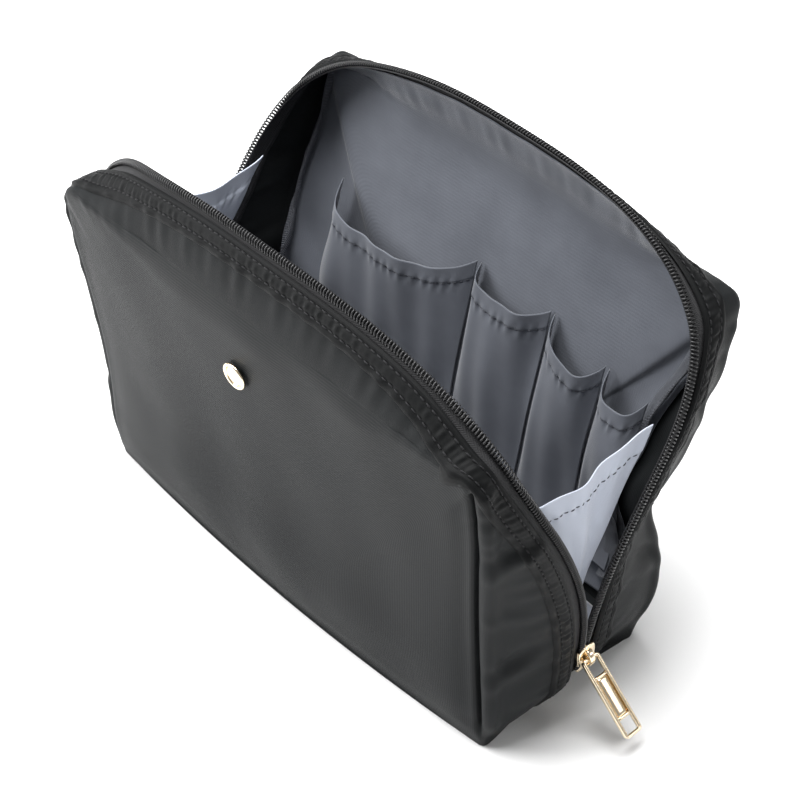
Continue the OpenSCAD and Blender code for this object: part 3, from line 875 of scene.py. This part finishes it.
def gold_material():
    """Polished pale gold plating, with a faint haze that varies its gloss."""
    material = bpy.data.materials.new("pale gold plating")
    material.use_nodes = True
    tree = material.node_tree
    skin = tree.nodes["Principled BSDF"]
    place = tree.nodes.new("ShaderNodeTexCoord")
    haze = socketed(tree, "ShaderNodeTexNoise", Scale=420.0, Detail=4.0, Roughness=0.6)
    worn = tree.nodes.new("ShaderNodeMapRange")
    worn.inputs["To Min"].default_value, worn.inputs["To Max"].default_value = 0.12, 0.26
    tint = tree.nodes.new("ShaderNodeMix")
    tint.data_type = "RGBA"
    tint.inputs["A"].default_value = (0.95, 0.78, 0.54, 1)
    tint.inputs["B"].default_value = (1.0, 0.87, 0.67, 1)
    tree.links.new(place.outputs["Object"], haze.inputs["Vector"])
    tree.links.new(haze.outputs["Fac"], worn.inputs["Value"])
    tree.links.new(worn.outputs["Result"], skin.inputs["Roughness"])
    tree.links.new(haze.outputs["Fac"], tint.inputs["Factor"])
    tree.links.new(tint.outputs["Result"], skin.inputs["Base Color"])
    skin.inputs["Metallic"].default_value = 1.0
    return material


GOLD = gold_material()
FRONT = HALVES["front"]
STUD_X, STUD_Z, STUD_R = -9.0, 130.5, 6.4


def turned(name, profile, foot, axis):
    """A round piece: a profile of radius and height, turned about an axis that starts at foot."""
    axis = unit(np.array(axis, float))
    u = unit(np.cross(axis, [1.0, 0, 0.2]))
    v = np.cross(axis, u)
    a = np.linspace(0, 2 * np.pi, 73)[:-1, None]
    circle = np.cos(a) * u + np.sin(a) * v
    rings = [foot + circle * radius + axis * height for radius, height in profile]
    return ringed_mesh(name, rings)


stud_foot = np.array([STUD_X, -face_depth(FRONT, STUD_X, STUD_Z), STUD_Z])
lean = np.radians(FRONT["lean"])
stud_axis = np.array([0, -np.cos(lean), -np.sin(lean)])
rim_r = 0.9
rim = [(STUD_R - rim_r + rim_r * np.cos(a), 1.75 + rim_r * np.sin(a))
       for a in np.radians(np.linspace(-90, 200, 15))]
dome = [(STUD_R * 0.72 * np.cos(a), 1.5 + 1.25 * np.sin(a)) for a in np.radians(np.linspace(0, 86, 12))]
post_profile = [(1.6, -1.0), (1.6, 0.8)]
washer_profile = [(1.9, -3.4), (4.0, -3.4), (4.3, -3.1), (4.3, -2.9), (4.0, -2.6), (1.9, -2.6)]
stud = turned("gold_stud", [*post_profile, *rim, *dome], stud_foot, stud_axis)
washer = turned("stud_back_washer", washer_profile, stud_foot, stud_axis)
for piece, node in ((stud, "stud_cap"), (washer, "stud_washer")):
    piece.data.materials.append(GOLD)
    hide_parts(node)
    bends_with(piece)

# --- Slider ----------------------------------------------------------------------------------------------
# Two shield-shaped plates joined by a post at the mouth, with a bent bridge on the outer one.

SLIDER_X, PLATE_GAP, PLATE_T = 129.4, 3.0, 1.1
PIVOT_X = SLIDER_X + PLATE_GAP + PLATE_T + 1.7


def rod(name, path, side, half_wide, half_thick, closed=False):
    """A bar with rounded edges carried along a path. side is its width's direction at each point, and its
    section is a superellipse of power 5."""
    path, side = np.array(path, float), np.array(side, float) + np.zeros((len(path), 3))
    ahead = (np.roll(path, -1, axis=0) - np.roll(path, 1, axis=0)) if closed else np.gradient(path, axis=0)
    forward = unit(ahead)
    side = unit(side - forward * np.sum(side * forward, -1, keepdims=True))
    up = np.cross(forward, side)
    a = np.linspace(0, 2 * np.pi, 17)[:-1]
    r = round_box(a, half_wide, half_thick, 5)
    wide, high = (r * np.cos(a))[None, :, None], (r * np.sin(a))[None, :, None]
    grid = path[:, None] + wide * side[:, None] + high * up[:, None]
    if not closed:
        return ringed_mesh(name, list(grid))
    count, sides = grid.shape[:2]
    i = np.arange(count * sides).reshape(count, sides)
    nxt, ahead_i = np.roll(i, -1, axis=1), np.roll(i, -1, axis=0)
    quads = np.stack([i, nxt, np.roll(nxt, -1, axis=0), ahead_i], -1).reshape(-1, 4)
    return smooth_piece(name, grid, quads.tolist())


def shield(name, x, thick):
    """A slider plate: wide at its mouth, narrower at its tail, and pulled in over a rounded edge."""
    a = np.linspace(0, 2 * np.pi, 97)[:-1]
    r = round_box(a, 4.8, 6.2, 3.4)
    y, z = r * np.cos(a), r * np.sin(a)
    y = y * (0.78 + 0.22 * ease((z + 6) / 8)) - 0.5 * np.sign(y) * hump(z, -3, 2)
    rings = []
    for inset, rise in ((0.9, 0.0), (0.3, 0.08), (0, 0.35), (0, 0.75), (0.3, 1.02), (0.9, 1.1), (2.4, 1.16)):
        shrink = 1 - inset / 5.2
        rings.append(np.stack([x + 0 * y + rise * thick, y * shrink, SLIDER_Z + z * shrink], 1))
    return ringed_mesh(name, rings)


plates = [shield("outer_plate", SLIDER_X + PLATE_GAP, PLATE_T),
          shield("inner_plate", SLIDER_X - PLATE_GAP - 2, PLATE_T)]
post_x = SLIDER_X + np.linspace(-PLATE_GAP - 0.9, PLATE_GAP + 0.1, 5)
post = rod("post", [[x, 0, SLIDER_Z + 4.1] for x in post_x], [0, 0, 1], 1.3, 0.7)
a = np.radians(np.linspace(-100, 100, 25))
bridge_path = np.stack([PIVOT_X - 1.6 + 3.05 * np.cos(a), 0 * a, SLIDER_Z + 3.7 * np.sin(a)], 1)
bridge = rod("bridge", bridge_path, [0, 1, 0], 1.4, 0.6)
flanges = []
for n, y in enumerate((-4.4, 4.4)):
    z = np.linspace(-4.4, 4.2, 12)
    flare = 0.84 + 0.16 * ease((z + 5) / 7)
    path = np.stack([SLIDER_X + PLATE_GAP - 0.5 + 0 * z, y * flare, SLIDER_Z + z], 1)
    flanges.append(rod(f"flange_{n}", path, [1, 0, 0], 0.7, 0.35))
slider = joined([*plates, post, bridge, *flanges], "zip_slider")
slider.data.materials.append(GOLD)
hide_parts("slider_body")
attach(slider, "slider")

# --- Pull -------------------------------------------------------------------------------------------------
# A cast gold pull: two raised rails, a window round the bridge, a flat tab and an open square eye.

PULL_L, PULL_W, RAIL, PULL_T, PULL_HANG = 36.0, 9.4, 1.5, 2.2, 48.0
hang = np.radians(PULL_HANG)
PULL_DOWN = np.array([np.sin(hang), 0, -np.cos(hang)])
PIVOT = np.array([PIVOT_X, 0, SLIDER_Z])


def on_pull(y, down):
    """A point of the pull's middle plane, from its place across the width and its distance below the bar."""
    return PIVOT + np.array([0, 1.0, 0]) * y + PULL_DOWN * down


c, r = PULL_W / 2 - RAIL / 2, 1.1
turn = np.radians(np.linspace(0, 90, 7))
corner = np.stack([r * (1 - np.cos(turn)), r * (1 - np.sin(turn))], 1)
loop = []
for sy, sd, order in ((1, 1, 1), (-1, 1, -1), (-1, -1, 1), (1, -1, -1)):
    for dy, dd in corner[::order]:
        low, high = PULL_L - RAIL / 2, -0.4
        loop.append(on_pull(sy * (c - dy), low - dd if sd > 0 else high + dd))
loop = np.array(loop)
middle = loop.mean(axis=0)
frame_bar = rod("rails", loop, loop - middle, RAIL / 2, PULL_T / 2, closed=True)
tab_path = [on_pull(0, down) for down in np.linspace(8.0, PULL_L - 8.5, 9)]
tab = rod("tab", tab_path, [0, 1, 0], PULL_W / 2 - 0.9, 0.55)
sill = rod("sill", [on_pull(y, PULL_L - 8.8) for y in np.linspace(-c, c, 5)], PULL_DOWN, 0.75, 0.95)
lintel = rod("lintel", [on_pull(y, 8.2) for y in np.linspace(-c, c, 5)], PULL_DOWN, 0.6, 0.9)
pull = joined([frame_bar, tab, sill, lintel], "gold_pull")
pull.data.materials.append(GOLD)
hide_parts("zip_pull")
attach(pull, "pull")

# --- Stops ------------------------------------------------------------------------------------------------
# Small metal clamps at the zip's two ends.


def clamp(name, centre, size):
    """A small block with rounded edges, stacked from superellipse rings along x."""
    a = np.linspace(0, 2 * np.pi, 33)[:-1]
    r = round_box(a, size[1] / 2, size[2] / 2, 5)
    y, z = r * np.cos(a), r * np.sin(a)
    rings = []
    for x, k in ((-1, 0.8), (-0.85, 0.95), (-0.6, 1), (0.6, 1), (0.85, 0.95), (1, 0.8)):
        rings.append(np.stack([centre[0] + 0 * a + x * size[0] / 2, centre[1] + k * y, centre[2] + k * z], 1))
    return ringed_mesh(name, rings)


TOP_STOP_X, TOP_STOP_Y, TOP_STOP_Z = -129.1, 3.7, SLIDER_Z + 4.0

bottom_stop = clamp("zip_end_clamp", (SLIDER_X, 0, SLIDER_Z - 9.5), (3.2, 4.8, 3.0))
top_stops = []
for n, y in enumerate((-TOP_STOP_Y, TOP_STOP_Y)):
    top_stops.append(clamp(f"stop_{n}", (TOP_STOP_X, y, TOP_STOP_Z), (3.0, 3.6, 4.0)))
top_stops = joined(top_stops, "zip_top_clamps")
for piece, node in ((bottom_stop, "zip_bottom_stop"), (top_stops, "zip_top_stops")):
    piece.data.materials.append(GOLD)
    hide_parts(node)
    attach(piece, "base")

# --- End tabs ---------------------------------------------------------------------------------------------
# A tab of the outer cloth behind each end of the zip, which closes the gap below its stops.

TAB_HALF, TAB_TOP = 6.5, 27.0

for hand, sign in (("left", -1), ("right", 1)):
    v = np.linspace(-1, 1, 25)[None, ::sign]
    z = np.linspace(0.7, TAB_TOP, 40)[:, None] + 0 * v
    x = np.minimum(zip_at(FRONT, sign, z)[0], zip_at(BACK, sign, z)[0]) - 1.6 - 0.4 * v ** 2
    y = TAB_HALF * v + 0 * z
    tab = cloth_mesh("end_tab_" + hand, np.stack([sign * x, y, z], -1), np.stack([y, z], -1))
    thicken(tab, 0.6)
    tab.data.materials.append(BLACK_SATIN)
    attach(tab, "base")

# --- Floor, lights and camera ----------------------------------------------------------------------------

floor_mesh = bpy.data.meshes.new("floor")
floor_mesh.from_pydata([(-6, -6, 0), (6, -6, 0), (6, 6, 0), (-6, 6, 0)], [], [(0, 1, 2, 3)])
floor = bpy.data.objects.new("floor", floor_mesh)
bpy.context.scene.collection.objects.link(floor)
floor_paint = bpy.data.materials.new("pale floor")
floor_paint.use_nodes = True
floor_paint.node_tree.nodes["Principled BSDF"].inputs["Base Color"].default_value = (0.9, 0.9, 0.9, 1)
floor_paint.node_tree.nodes["Principled BSDF"].inputs["Roughness"].default_value = 0.9
floor_mesh.materials.append(floor_paint)

world = bpy.data.worlds.new("studio")
world.use_nodes = True
world.node_tree.nodes["Background"].inputs["Color"].default_value = (1, 1, 1, 1)
world.node_tree.nodes["Background"].inputs["Strength"].default_value = 0.3
bpy.context.scene.world = world
bpy.context.scene.view_settings.view_transform = "Standard"


def softbox(name, place, target, size, power):
    """A square area light that looks at a target."""
    lamp = bpy.data.lights.new(name, "AREA")
    lamp.size, lamp.energy = size, power
    box = bpy.data.objects.new(name, lamp)
    bpy.context.scene.collection.objects.link(box)
    look = unit(np.array(target, float) - np.array(place, float))
    back = -look
    right = unit(np.cross([0, 0, 1.0], back))
    up = np.cross(back, right)
    matrix = np.eye(4)
    matrix[:3, 0], matrix[:3, 1], matrix[:3, 2], matrix[:3, 3] = right, up, back, place
    box.matrix_world = Matrix(matrix.tolist())


softbox("key", (-1.3, -1.1, 1.2), (0, 0, 0.08), 1.2, 54)
softbox("top", (-0.3, 0.1, 1.8), (0, 0, 0.08), 1.3, 62)
softbox("gold_card", (1.15, 0.8, 1.0), (0.15, 0, 0.02), 0.5, 3)

AZIMUTH, ELEVATION, RANGE, TARGET = 47.2, 42.6, 0.977, np.array([-0.010, 0.029, 0.060])
a, e = np.radians(AZIMUTH), np.radians(ELEVATION)
back = np.array([np.sin(a) * np.cos(e), -np.cos(a) * np.cos(e), np.sin(e)])
right = unit(np.cross(-back, [0, 0, 1.0]))
up = np.cross(right, -back)
camera = bpy.data.objects.new("camera", bpy.data.cameras.new("camera"))
bpy.context.scene.collection.objects.link(camera)
camera.data.lens, camera.data.sensor_width = 99.77, 36.0
matrix = np.eye(4)
matrix[:3, 0], matrix[:3, 1], matrix[:3, 2], matrix[:3, 3] = right, up, back, TARGET + back * RANGE
camera.matrix_world = Matrix(matrix.tolist())
bpy.context.scene.camera = camera
